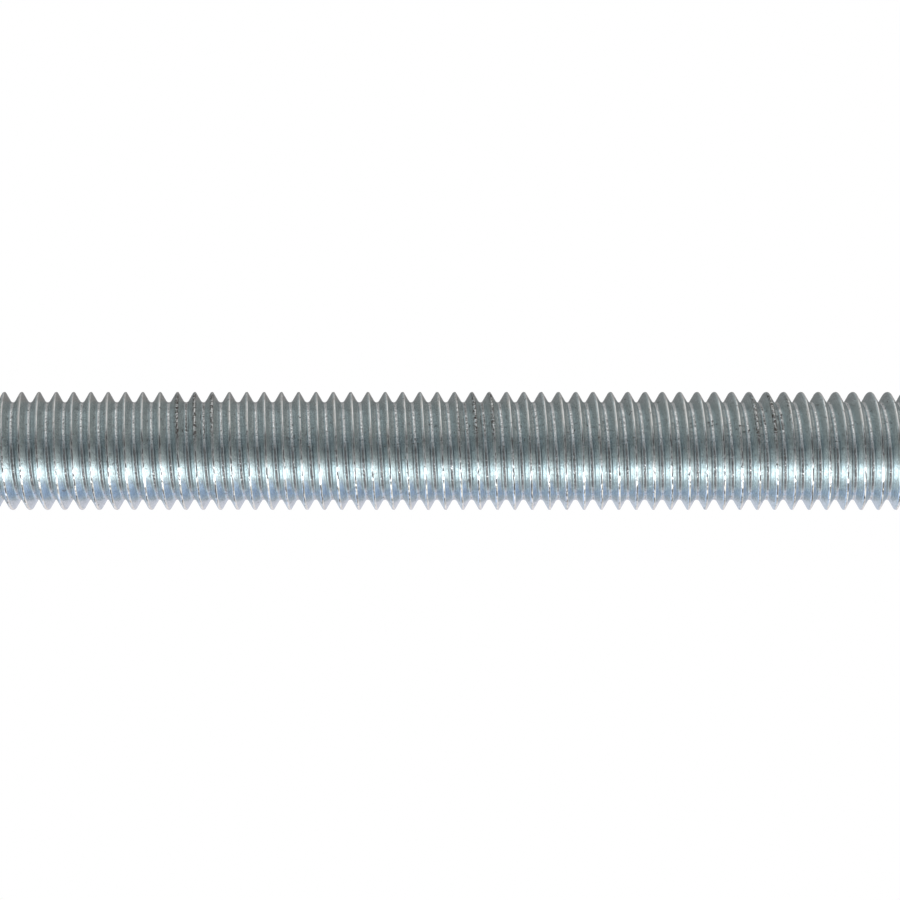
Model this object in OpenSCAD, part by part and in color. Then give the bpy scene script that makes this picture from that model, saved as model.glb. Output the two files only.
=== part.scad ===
// Fully threaded steel rod with a right-hand metric thread, M12 x 1.75.
// The thread runs from end to end, and both ends are cut square and chamfered.
// The rod stands on one end: +Z is its axis and the origin is the middle of the lower end face.

/* [Rod] */
// Length from end face to end face
rod_len = 100; // [10:0.5:110]
// Diameter over the thread crests
crest_d = 11.94; // [8:0.02:20]

/* [Thread] */
// Distance along the axis from one crest to the next
pitch = 1.75; // [1:0.05:2.5]
// Angle between the two flanks of a groove
flank_angle = 60; // [50:1:70]
// Width of the flat left on each crest, along the axis
crest_w = 0.2; // [0.1:0.01:0.3]
// Width of the flat at the bottom of each groove, along the axis
root_w = 0.34; // [0.1:0.01:0.4]

/* [Ends] */
// Slope of the end chamfers, measured from the end face
chamfer_angle = 45; // [30:1:60]
// How far inside the thread root the chamfers begin
chamfer_inset = 0.1; // [0:0.05:1]

/* [Smoothness] */
// Most triangles in the thread, from which the sides of a turn follow
thread_facets = 12000; // [5000:500:12000]
// Sides of the round cut at each end
end_sides = 72; // [32:4:96]

/* [Hidden] */

zinc_colour = [0.70, 0.74, 0.78];

crest_r = crest_d / 2;
flank_w = (pitch - crest_w - root_w) / 2;
thread_depth = flank_w / tan(flank_angle / 2);
root_r = crest_r - thread_depth;

// One pitch of the thread's outline as radius and rise, from the lower edge of a crest upwards
OUTLINE = [
    [crest_r, 0],
    [crest_r, crest_w],
    [root_r, crest_w + flank_w],
    [root_r, crest_w + flank_w + root_w]
];
turn_rows = len(OUTLINE);

// The thread starts below the rod and ends above it, and the blank trims it to length
overrun_turns = 1.5;
turns = ceil(rod_len / pitch) + 2;
rows = turns * turn_rows;

// Each side of a turn has two triangles in every row
facets_a_side = 2 * rows;
// The sides come in fours, so that one falls on each axis
turn_sides = 4 * floor(thread_facets / facets_a_side / 4);
last_side = turn_sides - 1;

end_r = root_r - chamfer_inset;
// The blank stands clear of the crests, so that only its ends cut the thread
blank_clearance = 0.5;
blank_r = crest_r + blank_clearance;
chamfer_rise = (blank_r - end_r) * tan(chamfer_angle);

// Point of the thread's surface on one side of a turn, at one row of the outlines above each other
function thread_point(side, row) =
    let (
        spot = OUTLINE[row % turn_rows],
        turn = floor(row / turn_rows) + side / turn_sides - overrun_turns,
        angle = 360 * side / turn_sides
    )
    [spot[0] * cos(angle), spot[0] * sin(angle), pitch * turn + spot[1]];

// Number of that point. Past the last side the thread goes on at side 0, one turn higher
function point_number(side, row) =
    side < turn_sides ? side * (rows + 1) + row : row + turn_rows;

// Triangles from a middle point to each edge of a closed loop of points
function fan(hub, loop) =
    [for (i = [0 : len(loop) - 1]) [hub, loop[i], loop[(i + 1) % len(loop)]]];

// The endless thread, as a solid bar with a helical surface
module thread() {
    surface = [
        for (side = [0 : last_side])
            for (row = [0 : rows])
                thread_point(side, row)
    ];
    hubs = [
        [0, 0, -overrun_turns * pitch],
        [0, 0, (turns - overrun_turns + 1) * pitch]
    ];
    bottom_hub = len(surface);
    top_hub = bottom_hub + 1;

    // Strips between one side and the next; the last side stops a turn short, below side 0
    strips = [
        for (side = [0 : last_side])
            for (row = [0 : (side < last_side ? rows : rows - turn_rows) - 1])
                [
                    point_number(side, row),
                    point_number(side, row + 1),
                    point_number(side + 1, row + 1),
                    point_number(side + 1, row)
                ]
    ];
    bottom_loop = [
        for (side = [0 : last_side]) point_number(side, 0),
        for (row = [turn_rows : -1 : 1]) point_number(0, row)
    ];
    top_loop = [
        for (row = [rows - turn_rows : rows]) point_number(last_side, row),
        for (side = [last_side - 1 : -1 : 0]) point_number(side, rows)
    ];

    polyhedron(
        points = concat(surface, hubs),
        faces = concat(strips, fan(bottom_hub, bottom_loop), fan(top_hub, top_loop))
    );
}

// The bar before threading, with its chamfered ends
module blank() {
    rotate_extrude($fn = end_sides)
        polygon([
            [0, 0],
            [end_r, 0],
            [blank_r, chamfer_rise],
            [blank_r, rod_len - chamfer_rise],
            [end_r, rod_len],
            [0, rod_len]
        ]);
}

module threaded_rod() {
    color(zinc_colour)
        intersection() {
            thread();
            blank();
        }
}

threaded_rod();
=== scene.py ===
import math

import bmesh
import bpy
from mathutils import Matrix, Vector


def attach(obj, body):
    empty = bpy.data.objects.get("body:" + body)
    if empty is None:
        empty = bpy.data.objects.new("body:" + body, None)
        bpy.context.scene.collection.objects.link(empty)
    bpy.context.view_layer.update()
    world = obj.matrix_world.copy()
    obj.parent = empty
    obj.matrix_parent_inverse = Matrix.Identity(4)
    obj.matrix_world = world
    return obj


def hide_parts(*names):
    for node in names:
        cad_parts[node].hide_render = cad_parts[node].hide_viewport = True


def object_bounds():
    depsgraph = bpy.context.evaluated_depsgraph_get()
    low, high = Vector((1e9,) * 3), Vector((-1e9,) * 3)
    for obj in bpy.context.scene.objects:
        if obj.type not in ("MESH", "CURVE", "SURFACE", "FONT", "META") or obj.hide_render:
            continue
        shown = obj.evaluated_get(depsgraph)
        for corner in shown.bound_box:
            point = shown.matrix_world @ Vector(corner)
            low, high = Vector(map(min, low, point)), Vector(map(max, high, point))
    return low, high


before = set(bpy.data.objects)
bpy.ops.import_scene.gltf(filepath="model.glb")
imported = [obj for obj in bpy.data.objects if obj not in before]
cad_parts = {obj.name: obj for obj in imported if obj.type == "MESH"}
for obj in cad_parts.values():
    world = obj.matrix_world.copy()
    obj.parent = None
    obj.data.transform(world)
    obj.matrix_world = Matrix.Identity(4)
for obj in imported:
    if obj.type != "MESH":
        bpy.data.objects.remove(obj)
cad_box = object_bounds()


# The rod is one bar of mild steel, M12 x 1.75. Its thread is rolled from end to end between dies, which
# press the groove in and squeeze the steel up into the crests.
# The bar is then cut to length, and its ends are turned square with a chamfer.
MM = 0.001

# Sizes of the rod in millimetres, in which it is drawn
PITCH = 1.75
CREST_WIDTH = 0.2
ROOT_WIDTH = 0.34
FLANK_SLOPE = math.radians(30)
CHAMFER_INSET = 0.1
LOWER_ROUNDING = 0.11
UPPER_ROUNDING = 0.04
CREST_SEGMENTS = 3
ROOT_SEGMENTS = 3
SIDES_OF_A_TURN = 96
CHAMFER_SIDES = 192
# The thread starts below the foot, and the blank is wider than the crests
THREAD_START = -1.5 * PITCH
BLANK_SPARE = 0.5
# Points closer than this become one
WELD = 0.002
SHARP_ANGLE = math.radians(35)

low, high = (corner / MM for corner in cad_box)
rod_length = high.z - low.z
crest_radius = (high.x - low.x) / 2
flank_width = (PITCH - CREST_WIDTH - ROOT_WIDTH) / 2
root_radius = crest_radius - flank_width / math.tan(FLANK_SLOPE)
end_radius = root_radius - CHAMFER_INSET
turns = math.ceil(rod_length / PITCH) + 2


def link(thing):
    """Puts a new object into the scene."""
    bpy.context.scene.collection.objects.link(thing)
    return thing


def finished(mesh, name):
    """The mesh as an object of its own, with its place in its mesh."""
    data = bpy.data.meshes.new(name)
    mesh.to_mesh(data)
    mesh.free()
    return link(bpy.data.objects.new(name, data))


def everything(mesh):
    """All points, edges and faces of a mesh."""
    return mesh.verts[:] + mesh.edges[:] + mesh.faces[:]


def only(kind, geometry):
    """The pieces of one kind among the geometry."""
    return [piece for piece in geometry if isinstance(piece, kind)]


def chain(mesh, points):
    """New points in the XZ plane, joined one after the other."""
    made = [mesh.verts.new((radius, 0, height)) for radius, height in points]
    for start, end in zip(made, made[1:]):
        mesh.edges.new((start, end))
    return made


def round_corner(mesh, corner, reach, segments):
    """Rounds one corner of a chain over a given reach to each side."""
    bmesh.ops.bevel(
        mesh, geom=[corner], offset=reach, segments=segments,
        profile=0.5, affect="VERTICES", material=-1,
    )


def draw_groove(mesh):
    """Draws one pitch of the thread's outline, from the middle of one flank to the next like it."""
    mid_radius = (crest_radius + root_radius) / 2
    root = THREAD_START + CREST_WIDTH + flank_width
    start, *corners, end = chain(mesh, [
        (mid_radius, THREAD_START - flank_width / 2),
        (crest_radius, THREAD_START),
        (crest_radius, THREAD_START + CREST_WIDTH),
        (root_radius, root),
        (root_radius, root + ROOT_WIDTH),
        (mid_radius, THREAD_START + PITCH - flank_width / 2),
    ])
    round_corner(mesh, corners[0], LOWER_ROUNDING, CREST_SEGMENTS)
    round_corner(mesh, corners[1], UPPER_ROUNDING, CREST_SEGMENTS)
    for corner in corners[2:]:
        round_corner(mesh, corner, ROOT_WIDTH / 2, ROOT_SEGMENTS)
    bmesh.ops.remove_doubles(mesh, verts=mesh.verts, dist=WELD)


def roll_bar():
    """The threaded bar, cut square at both ends."""
    mesh = bmesh.new()
    draw_groove(mesh)
    bmesh.ops.spin(
        mesh, geom=everything(mesh), cent=(0, 0, 0), axis=(0, 0, 1),
        dvec=(0, 0, PITCH / SIDES_OF_A_TURN), angle=math.tau, steps=SIDES_OF_A_TURN,
    )
    first_turn = everything(mesh)
    for turn in range(1, turns):
        copy = bmesh.ops.duplicate(mesh, geom=first_turn)["geom"]
        bmesh.ops.translate(mesh, verts=only(bmesh.types.BMVert, copy), vec=(0, 0, turn * PITCH))
    bmesh.ops.remove_doubles(mesh, verts=mesh.verts, dist=WELD)
    for height, outwards in ((low.z, -1), (high.z, 1)):
        cut = bmesh.ops.bisect_plane(
            mesh, geom=everything(mesh), plane_co=(0, 0, height), plane_no=(0, 0, outwards),
            dist=WELD / 10, clear_outer=True,
        )["geom_cut"]
        bmesh.ops.holes_fill(mesh, edges=only(bmesh.types.BMEdge, cut), sides=0)
    bmesh.ops.recalc_face_normals(mesh, faces=mesh.faces)
    return finished(mesh, "threaded_rod_rolled")


def turn_blank():
    """The chamfered bar that the thread is kept to. Between its chamfers it is wider than the crests."""
    rise = crest_radius + BLANK_SPARE - end_radius
    mesh = bmesh.new()
    chain(mesh, [
        (0, low.z - BLANK_SPARE),
        (end_radius - BLANK_SPARE, low.z - BLANK_SPARE),
        (crest_radius + BLANK_SPARE, low.z + rise),
        (crest_radius + BLANK_SPARE, high.z - rise),
        (end_radius - BLANK_SPARE, high.z + BLANK_SPARE),
        (0, high.z + BLANK_SPARE),
    ])
    bmesh.ops.spin(
        mesh, geom=everything(mesh), cent=(0, 0, 0), axis=(0, 0, 1),
        angle=math.tau, steps=CHAMFER_SIDES, use_merge=True,
    )
    bmesh.ops.remove_doubles(mesh, verts=mesh.verts, dist=WELD)
    bmesh.ops.recalc_face_normals(mesh, faces=mesh.faces)
    return finished(mesh, "blank")


def bake(thing):
    """Turns the modifiers of an object into its mesh."""
    view = bpy.context.evaluated_depsgraph_get()
    data = bpy.data.meshes.new_from_object(thing.evaluated_get(view))
    thing.modifiers.clear()
    thing.data = data


rod = roll_bar()
blank = turn_blank()
chamfer = rod.modifiers.new("chamfer", "BOOLEAN")
chamfer.operation = "INTERSECT"
chamfer.solver = "MANIFOLD"
chamfer.object = blank
bake(rod)
bpy.data.objects.remove(blank)

# The flanks stay flat up to the rounded crests and roots
for face in rod.data.polygons:
    face.use_smooth = True
rod.data.set_sharp_from_angle(angle=SHARP_ANGLE)
flat_flanks = rod.modifiers.new("flat_flanks", "WEIGHTED_NORMAL")
flat_flanks.mode = "FACE_AREA"
flat_flanks.weight = 100
flat_flanks.keep_sharp = True
bake(rod)
rod.data.transform(Matrix.Scale(MM, 4))
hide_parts("threaded_rod")
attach(rod, "root")


# The steel is electroplated with zinc, a few thousandths of a millimetre thick. It is bright, but the
# rolling has left fine streaks along the thread, and its colour is cloudy, from bluish to brownish grey.
# Handling and storage have left dust in the groove and dark dirt on a few of the crests. The colour also
# carries painted highlights along the crests and the groove's bottom, and painted shade in the groove
# and on parts of the crests.
ZINC_TEAL = (0.497, 0.571, 0.586, 1)
ZINC_GREY = (0.565, 0.575, 0.56, 1)
# Painted highlight along the crests, paler and warmer on the rod's +X side
CREST_HIGHLIGHT_COLOUR = (0.72, 0.72, 0.71, 1)
CREST_HIGHLIGHT_WARM = (0.88, 0.79, 0.66, 1)
# Painted highlight along the groove's bottom, and its tone under painted shade on the rod's +X side
ROOT_HIGHLIGHT_COLOUR = (0.97, 0.99, 1.0, 1)
ROOT_HIGHLIGHT_TONED = (0.70, 0.68, 0.65, 1)
# One dark, matt colour for the seam, the dirt and the painted shade film
DARK_MARK_AND_SHADE_COLOUR = (0.035, 0.035, 0.035, 1)
GRIME_COLOUR = (0.045, 0.036, 0.03, 1)
RELIEF_HEIGHT = 0.004 * MM

# Lines and fades along the rod, for marks, painted highlights and painted shade, in millimetres from the
# middle of a crest or of the line itself
CREST_LINE = 0.06
CREST_FADE = (0.09, 0.045)
CREST_HIGHLIGHT_SPREAD = 0.03
ROOT_SHIFT = 0.03
ROOT_FADE = (0.71, 0.82)
# Painted shade: from the crest into the groove it grows darker
GROOVE_SHADE_FADE = (0.2, 0.7)
SEAM_LINE = 0.02
SEAM_WANDER = 0.14
SEAM_FADE = (0.095, 0.04)
SHADE_FILM_FADE = (0.65, 0.82)
GRIME_FADE = (0.26, 0.12)
# Painted shade across the crests' pale line
CREST_SHADE_LINE = -0.03
CREST_SHADE_FADE = (0.2, 0.12)
WARM_FADES = ((-0.12, 0.12), (0.85, 0.35))
CLOUD_REACH = 0.9

# Where marks, painted highlights and painted shade begin and end around the rod, in radians from its -Y
# side towards +X
HIGHLIGHT_SIDE_FADE = (0.4, 0.65)
ROOT_HIGHLIGHT_SIDE_FADE = (0.15, 0.6)
SEAM_SIDE = ((-0.55, -0.15), (1.35, 0.9))
SHADE_FILM_SIDE = ((-0.36, 0.02), (1.1, 0.75))
GRIME_SIDE = ((-1.5, -1.2), (0.0, -0.4))
CREST_SHADE_SIDE = ((-0.42, -0.12), (0.34, 0.1))

# Bands, each with its middle, its reach and how strong it is
# Painted shade bands on the crests' pale line, around the rod
CREST_SHADE_BANDS = ((0.36, 0.16, 0.35), (0.66, 0.22, 0.6))
# Painted shade on the flanks below the crests: its bands, and its middle and reach around the rod
FLANK_SHADE_BANDS = ((-0.62, 0.14, 0.24), (-0.2, 0.15, 0.2))
FLANK_SHADE_SIDE = (0.42, 0.4)

# Heights and reaches of the crests that greasy hands have touched
TOUCHED = ((24.6, 3.0), (53.0, 2.6), (82.2, 2.7))
# Turns from the zero of the shader's angle to where a crest crosses the foot of the rod
CREST_TURNS = 0.25 + 0.5 - (THREAD_START + CREST_WIDTH / 2) / PITCH
# How much a streak changes with height, and how unlike the two flanks of a crest are
STREAK_RISE = 0.3
FLANK_OFFSET = 9


class Signal:
    """A socket of a material's node. Python's operators on it add Math nodes."""

    def __init__(self, tree, socket=None):
        self.tree = tree
        self.socket = socket

    def node(self, kind, settings=None, sockets=None, output=None):
        """Adds any node: its settings first, then the values or links of its sockets."""
        added = self.tree.nodes.new(kind)
        for name, value in (settings or {}).items():
            setattr(added, name, value)
        inputs = {socket.identifier: socket for socket in added.inputs}
        for name, value in (sockets or {}).items():
            if isinstance(value, Signal):
                self.tree.links.new(value.socket, inputs[name])
            else:
                inputs[name].default_value = value
        outputs = {socket.identifier: socket for socket in added.outputs}
        return Signal(self.tree, outputs.get(output))

    def math(self, operation, *others):
        """The result of a Math node that starts with this signal."""
        sockets = dict(zip(("Value", "Value_001", "Value_002"), (self, *others)))
        return self.node("ShaderNodeMath", {"operation": operation}, sockets, "Value")

    def __add__(self, other):
        return self.math("ADD", other)

    def __radd__(self, other):
        return self.math("ADD", other)

    def __sub__(self, other):
        return self.math("SUBTRACT", other)

    def __rsub__(self, other):
        return (self * -1).math("ADD", other)

    def __mul__(self, other):
        return self.math("MULTIPLY", other)

    def __rmul__(self, other):
        return self.math("MULTIPLY", other)

    def __truediv__(self, other):
        return self.math("DIVIDE", other)

    def size(self):
        """The signal without its sign."""
        return self.math("ABSOLUTE")

    def most(self, *others):
        """The greatest of this signal and others."""
        greatest = self
        for other in others:
            greatest = greatest.math("MAXIMUM", other)
        return greatest

    def step(self, start, end):
        """Goes smoothly from 0 to 1 as the signal goes from start to end."""
        return self.node(
            "ShaderNodeMapRange", {"interpolation_type": "SMOOTHSTEP"},
            {"Value": self, "From Min": start, "From Max": end}, "Result",
        )

    def between(self, rise, fall):
        """Goes smoothly from 0 to 1 over the rise, and back to 0 over the fall."""
        return self.step(*rise) * self.step(*fall)

    def near(self, centre, reach):
        """1 where the signal is at the centre, and 0 from the reach on."""
        return (self - centre).size().step(reach, 0)

    def bands(self, rows):
        """Adds up bands, each with its middle, its reach and how strong it is."""
        first, *others = (self.near(middle, reach) * amount for middle, reach, amount in rows)
        return sum(others, first)

    def blend(self, start, end):
        """One colour passing into another as this signal goes from 0 to 1."""
        return self.node(
            "ShaderNodeMix", {"data_type": "RGBA"},
            {"Factor_Float": self, "A_Color": start, "B_Color": end}, "Result_Color",
        )

    def times(self, amount):
        """A colour or a vector times a number."""
        return self.node(
            "ShaderNodeVectorMath", {"operation": "SCALE"}, {"Vector": self, "Scale": amount}, "Vector",
        )


def new_material(name):
    """An empty material and the start of its nodes."""
    material = bpy.data.materials.new(name)
    material.use_nodes = True
    material.node_tree.nodes.clear()
    return material, Signal(material.node_tree)


def millimetres(start):
    """A place on the object, in millimetres from its origin."""
    return start.node("ShaderNodeTexCoord", output="Object").times(1 / MM)


def noise(place, scale, detail=2, **more):
    """Soft noise from 0 to 1, around a half."""
    settings = {"noise_dimensions": "4D" if "W" in more else "3D"}
    sockets = {"Vector": place, "Scale": scale, "Detail": detail, **more}
    return place.node("ShaderNodeTexNoise", settings, sockets, "Fac")


plating, start = new_material("zinc_plating")
place = millimetres(start)
x, y, z = (
    place.node("ShaderNodeSeparateXYZ", None, {"Vector": place}, axis)
    for axis in ("X", "Y", "Z")
)
radius = (x * x + y * y).math("SQRT")
# Angle around the rod, and distance along it from the middle of the crest
around = x.math("ARCTAN2", y * -1)
across = ((z / PITCH - around / math.tau + CREST_TURNS).math("FRACT") - 0.5) * PITCH
off_crest = across.size()
side = across.math("SIGN")
# The rod's +X side, where the crests' painted highlight is wider and warmer
highlight_side = around.step(*HIGHLIGHT_SIDE_FADE)
crest_highlight_line = ((across - CREST_LINE).size() - CREST_HIGHLIGHT_SPREAD * highlight_side).step(*CREST_FADE)
root = (off_crest - side * ROOT_SHIFT).step(*ROOT_FADE)

# Streaks run along the thread, where the distance from the axis stays the same
along = place.node(
    "ShaderNodeCombineXYZ", None, {"X": x / radius, "Y": y / radius, "Z": z * STREAK_RISE}, "Vector",
)
lane = radius + side * FLANK_OFFSET
streaks = noise(along, scale=1.6, detail=3, W=lane * 7)
fine_streaks = noise(along, scale=4, detail=2, W=lane * 16)
clouds = noise(place, scale=0.35, detail=3)
mottle = noise(place, scale=2.2, detail=4, Roughness=0.6)
grain = noise(place, scale=9, detail=3, Roughness=0.65)
flecks = noise(place, scale=7).step(0.36, 0.64)

# The seam where the two sides of the rolled crest meet shows as a fine, broken dark line
seam_line = across - SEAM_LINE + (noise(along, scale=6, detail=1) - 0.5) * SEAM_WANDER
short_breaks = noise(along, scale=13, detail=3, W=lane).step(0.42, 0.50)
long_breaks = noise(place, scale=0.5, detail=1).step(0.3, 0.45)
seam = seam_line.size().step(*SEAM_FADE) * (short_breaks * long_breaks) * around.between(*SEAM_SIDE)

# Painted shade at the groove's bottom: a broken, dark, matt film from the rod's -Y side round to its +X
# side
shade_film_breaks = noise(place, scale=12).step(0.33, 0.46)
shade_film = off_crest.step(*SHADE_FILM_FADE) * around.between(*SHADE_FILM_SIDE) * shade_film_breaks
# Dust lies in dark specks along the groove's bottom, all around the rod
spots = root * noise(place, scale=11, detail=3, Roughness=0.7).step(0.49, 0.57)

# Greasy dirt sticks to a few of the crests, and less to the groove between them
touches = [z.near(height, reach) for height, reach in TOUCHED]
touched = touches[0].most(*touches[1:]).step(0, 0.4) * around.between(*GRIME_SIDE)
grime_place = off_crest.step(*GRIME_FADE).most(root * 0.7)
crumbs = noise(place, scale=5, detail=3, Roughness=0.7).step(0.48, 0.53)
grime = touched * grime_place * crumbs
specks = noise(place, scale=3.4).step(0.67, 0.70)
dirt = grime.most(specks * 0.7)
# The seam, the dirt and the painted shade film all take the dark, matt colour
dark_marks_and_shade = seam.most(shade_film, spots * 0.8, dirt)

# One side of the crest is bluish and the other brownish, both with streaks, grain and flecks, and
# painted shade makes both darker from the crest down into the groove
warm = (across + (clouds - 0.5) * CLOUD_REACH).step(*WARM_FADES[0]) * across.step(*WARM_FADES[1])
groove_shade = off_crest.step(*GROOVE_SHADE_FADE)
shade = 0.24 + 0.3 * mottle + 0.22 * streaks + 0.8 * grain + 0.3 * flecks - 0.1 * groove_shade
colour = warm.blend(ZINC_TEAL, ZINC_GREY).times(shade)

# Each crest carries a painted highlight: a pale line set a little towards the rod's top, wider and
# warmer on the rod's +X side. It is uneven, and painted shade darkens it in bands around the rod, where
# it is also a little rougher.
# Painted shade on the crests' pale line: on the rod's -Y side and in two bands towards its +X side
crest_shade = around.between(*CREST_SHADE_SIDE) + around.bands(CREST_SHADE_BANDS)
crest_shade = crest_shade * (across - CREST_SHADE_LINE).size().step(*CREST_SHADE_FADE)
uneven = 0.35 + 1.3 * noise(along, scale=5, detail=5, Roughness=0.8, W=lane * 2)
crest_highlight_tint = highlight_side.blend(CREST_HIGHLIGHT_COLOUR, CREST_HIGHLIGHT_WARM)
colour = (crest_highlight_line * 0.8).blend(colour, crest_highlight_tint)
colour = crest_highlight_line.blend(colour, colour.times(uneven)).times(1 - 0.48 * crest_shade)

# The groove's bottom carries a near-white painted highlight, with duller gaps, toned down by painted
# shade on the rod's +X side. Painted shade also darkens the flank below each crest, between the rod's -Y
# and +X sides.
gaps = noise(place, scale=6).step(0.48, 0.38)
root_highlight = around.step(*ROOT_HIGHLIGHT_SIDE_FADE).blend(ROOT_HIGHLIGHT_COLOUR, ROOT_HIGHLIGHT_TONED)
colour = root.blend(colour, root_highlight.times(1 - 0.5 * gaps))
# Painted shade on the flank below each crest, between the rod's -Y and +X sides
colour = colour.times(1 - around.near(*FLANK_SHADE_SIDE) * across.bands(FLANK_SHADE_BANDS))
# Seam, dirt and painted shade film in their dark colour
colour = dark_marks_and_shade.blend(colour, DARK_MARK_AND_SHADE_COLOUR)
colour = dirt.blend(colour, GRIME_COLOUR)

# Roughness rises a little under the crests' painted shade, and much on the dark marks and the painted
# shade film
roughness = 0.17 + 0.1 * mottle + 0.04 * streaks - 0.08 * root + 0.04 * crest_shade + 0.45 * dark_marks_and_shade
relief = streaks + 0.35 * fine_streaks + 0.8 * grain - 1.5 * seam
bump = relief.node(
    "ShaderNodeBump", None, {"Strength": 1, "Distance": RELIEF_HEIGHT, "Height": relief}, "Normal",
)
surface = colour.node("ShaderNodeBsdfPrincipled", None, {
    "Base Color": colour,
    "Metallic": 1 - dark_marks_and_shade * 0.95,
    "Roughness": roughness,
    "Normal": bump,
}, "BSDF")
surface.node("ShaderNodeOutputMaterial", None, {"Surface": surface})
rod.data.materials.clear()
rod.data.materials.append(plating)


# The rod stands on a wide round table top of matt white board. The board keeps the rod's shadow around
# its foot, and passes into the white of the room farther out.
FLOOR_RADIUS = 0.3
FLOOR_SIDES = 96
FLOOR_COLOUR = (0.8, 0.8, 0.8, 1)
FLOOR_GLOW = 0.4
WHITE = (1, 1, 1, 1)
# Distances in millimetres from the middle of the foot, over which the white comes in
WHITE_FADE = (16, 36)


def mix_shaders(factor, start, end):
    """One shader passing into another as the factor goes from 0 to 1."""
    sockets = {"Fac": factor, "Shader": start, "Shader_001": end}
    return factor.node("ShaderNodeMixShader", None, sockets, "Shader")


def shining(start, strength):
    """A white glow of a given strength."""
    sockets = {"Color": WHITE, "Strength": strength}
    return start.node("ShaderNodeEmission", None, sockets, "Emission")


def camera_or_mirror(start):
    """1 for what the camera sees itself, in a mirror or through glass, and 0 for light on its way."""
    rays = [
        start.node("ShaderNodeLightPath", output=ray)
        for ray in ("Is Camera Ray", "Is Glossy Ray", "Is Transmission Ray")
    ]
    return rays[0].most(*rays[1:])


floor_mesh = bmesh.new()
bmesh.ops.create_circle(floor_mesh, cap_ends=True, segments=FLOOR_SIDES, radius=FLOOR_RADIUS)
floor = finished(floor_mesh, "floor")
floor.visible_glossy = False
white_board, start = new_material("white_board")
from_foot = millimetres(start)
from_foot = from_foot.node(
    "ShaderNodeVectorMath", {"operation": "LENGTH"}, {"Vector": from_foot}, "Value",
)
matt = start.node("ShaderNodeBsdfDiffuse", None, {"Color": FLOOR_COLOUR}, "BSDF")
lit = start.node(
    "ShaderNodeAddShader", None, {"Shader": matt, "Shader_001": shining(start, FLOOR_GLOW)}, "Shader",
)
seen = mix_shaders(from_foot.step(*WHITE_FADE), lit, shining(start, 1))
top = mix_shaders(camera_or_mirror(start), matt, seen)
start.node("ShaderNodeOutputMaterial", None, {"Surface": top})
floor.data.materials.append(white_board)


# The room is a white tent of thin cloth, stretched around the table and lit from outside. The camera
# and the rod's polish see it white, and half as much light comes from it.
ROOM_WHITE = 1.0
ROOM_LIGHT = 0.5

room = bpy.data.worlds.new("room")
bpy.context.scene.world = room
room.use_nodes = True
room.node_tree.nodes.clear()
start = Signal(room.node_tree)
cloth = start.node("ShaderNodeBackground", None, {
    "Color": WHITE,
    "Strength": ROOM_LIGHT + camera_or_mirror(start) * (ROOM_WHITE - ROOM_LIGHT),
}, "Background")
start.node("ShaderNodeOutputWorld", None, {"Surface": cloth})


# A tall lamp box stands beside the camera, on the rod's +X side. The white cloth over it is brightest in
# the middle: each of three lamps in it is narrower than the one before.
LAMP_DISTANCE = 0.6
LAMP_HEIGHT = 1.5
LAMP_BRIGHTNESS = 1.7
middle = Vector((0, 0, 50 * MM))


def facing(azimuth, distance):
    """Place of a flat thing that faces the middle of the rod, by its angle from -Y towards +X."""
    turn = math.radians(azimuth)
    way = Vector((math.sin(turn), -math.cos(turn), 0))
    turned = way.to_track_quat("Z", "Y").to_matrix().to_4x4()
    return Matrix.Translation(middle + way * distance) @ turned


def lamp(name, azimuth, width, colour):
    """A flat lamp that looks equally bright from every side. The camera doesn't show it."""
    light = bpy.data.lights.new(name, "AREA")
    light.shape = "RECTANGLE"
    light.size = width
    light.size_y = LAMP_HEIGHT
    light.energy = LAMP_BRIGHTNESS * math.pi * width * LAMP_HEIGHT
    light.color = colour
    held = link(bpy.data.objects.new(name, light))
    held.matrix_world = facing(azimuth, LAMP_DISTANCE)
    held.visible_camera = False


lamp("wide_lamp", 54.5, 0.50, (0.88, 0.98, 1.09))
lamp("lamp", 56.5, 0.37, (1, 1, 1))
lamp("core_lamp", 56.3, 0.205, (1, 1, 1))


# Glowing sheets stand around the rod, which only its polish shows: they set what it reflects and keep
# the white cloth out of it. They are grey beside the camera and behind the rod, and bluish on its +X
# side, in two columns. The grey boards close behind the rod put painted shade into its reflections at
# the edges.
BOARD_HEIGHT = 0.6
BACK_DISTANCE = 0.025
SIDE_DISTANCE = 0.46
COLUMN_DISTANCE = 0.5
# Boards of one column above each other: how far each is lifted, and its height
COLUMN_ROWS = (("low", -0.35, 0.48), ("middle", 0, 0.22), ("high", 0.35, 0.48))


def board(name, place, width, height, colour):
    """A sheet glowing in a given colour, which only the rod's polish shows."""
    mesh = bmesh.new()
    bmesh.ops.create_grid(mesh, x_segments=1, y_segments=1, size=0.5)
    bmesh.ops.scale(mesh, vec=(width, height, 1), verts=mesh.verts)
    bmesh.ops.transform(mesh, matrix=place, verts=mesh.verts)
    sheet = finished(mesh, name)
    sheet.visible_camera = False
    sheet.visible_diffuse = False
    sheet.visible_shadow = False
    reflected_glow, start = new_material(name)
    glow = start.node("ShaderNodeEmission", None, {"Color": (*colour, 1)}, "Emission")
    start.node("ShaderNodeOutputMaterial", None, {"Surface": glow})
    sheet.data.materials.append(reflected_glow)


def standing(sideways):
    """Place of a board close behind the rod, square to the camera's view."""
    upright = Matrix.Rotation(math.pi / 2, 4, "X")
    return Matrix.Translation(middle + Vector((sideways, BACK_DISTANCE, 0))) @ upright


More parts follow.
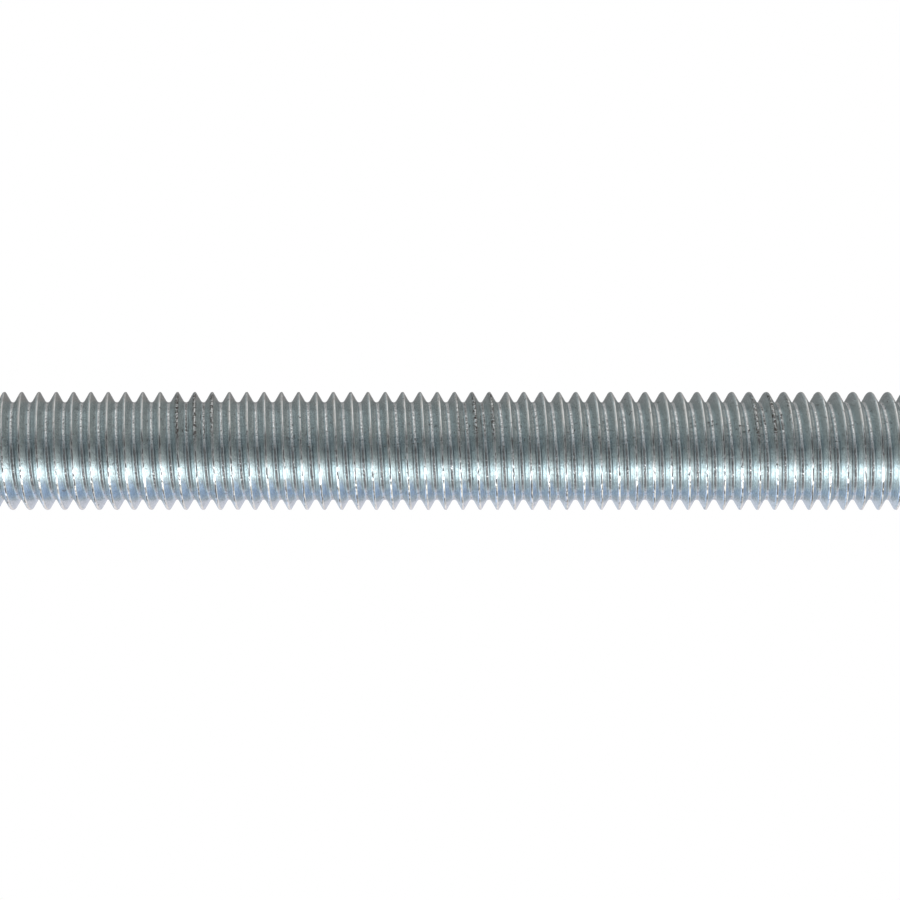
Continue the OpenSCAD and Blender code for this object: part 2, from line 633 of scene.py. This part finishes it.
for name, place, width, colour in (
    ("camera_board", facing(-14, 0.55), 0.49, (0.165, 0.225, 0.28)),
    ("camera_board_edge", facing(-20.5, 0.56), 0.46, (0.50, 0.53, 0.56)),
    ("back_board", standing(-0.007), 0.022, (0.28, 0.28, 0.28)),
    ("back_board_high", standing(-0.041), 0.046, (0.48, 0.48, 0.48)),
    ("back_board_low", standing(0.0145), 0.021, (0.78, 0.80, 0.91)),
):
    board(name, place, width, BOARD_HEIGHT, colour)

# Two boards lie flat on the rod's -X side, one above its height and one below the table
for name, height in (("upper_board", 0.25), ("lower_board", -0.15)):
    board(name, Matrix.Translation((-SIDE_DISTANCE, 0, height)), 0.9, 1.2, (0.6, 0.6, 0.6))

for column, azimuth, width, colours in (
    ("front", 95.5, 0.19, ((1.28, 1.5, 2.05), (1.15, 1.17, 1.2), (1.3, 1.4, 1.52))),
    ("rear", 120.5, 0.26, ((0.66, 0.85, 1.28), (0.82, 0.94, 1.24), (0.70, 0.85, 1.14))),
):
    for (row, lift, height), colour in zip(COLUMN_ROWS, colours):
        place = Matrix.Translation((0, 0, lift)) @ facing(azimuth, COLUMN_DISTANCE)
        board(f"{column}_board_{row}", place, width, height, colour)


# The camera stands level on a tripod at the rod's -Y side. It is turned, so that the rod's top is at the
# right of the picture, and it stands a little lower than the middle of what it shows.
CAMERA_DISTANCE = 312 * MM
CAMERA_HEIGHT = 46.5 * MM
FRAME_WIDTH = 91.02 * MM
FRAME_MIDDLE = 50.41 * MM
AXIS_DROP = 0.1 * MM
SENSOR_WIDTH = 36
NEAREST_SEEN = 10 * MM

camera_data = bpy.data.cameras.new("camera")
camera_data.sensor_width = SENSOR_WIDTH
camera_data.lens = SENSOR_WIDTH * CAMERA_DISTANCE / FRAME_WIDTH
camera_data.shift_x = (FRAME_MIDDLE - CAMERA_HEIGHT) / FRAME_WIDTH
camera_data.clip_start = NEAREST_SEEN
camera = link(bpy.data.objects.new("camera", camera_data))
camera.matrix_world = Matrix((
    (0, -1, 0, -AXIS_DROP),
    (0, 0, -1, -CAMERA_DISTANCE),
    (1, 0, 0, CAMERA_HEIGHT),
    (0, 0, 0, 1),
))
bpy.context.scene.camera = camera
bpy.context.scene.view_settings.view_transform = "Standard"
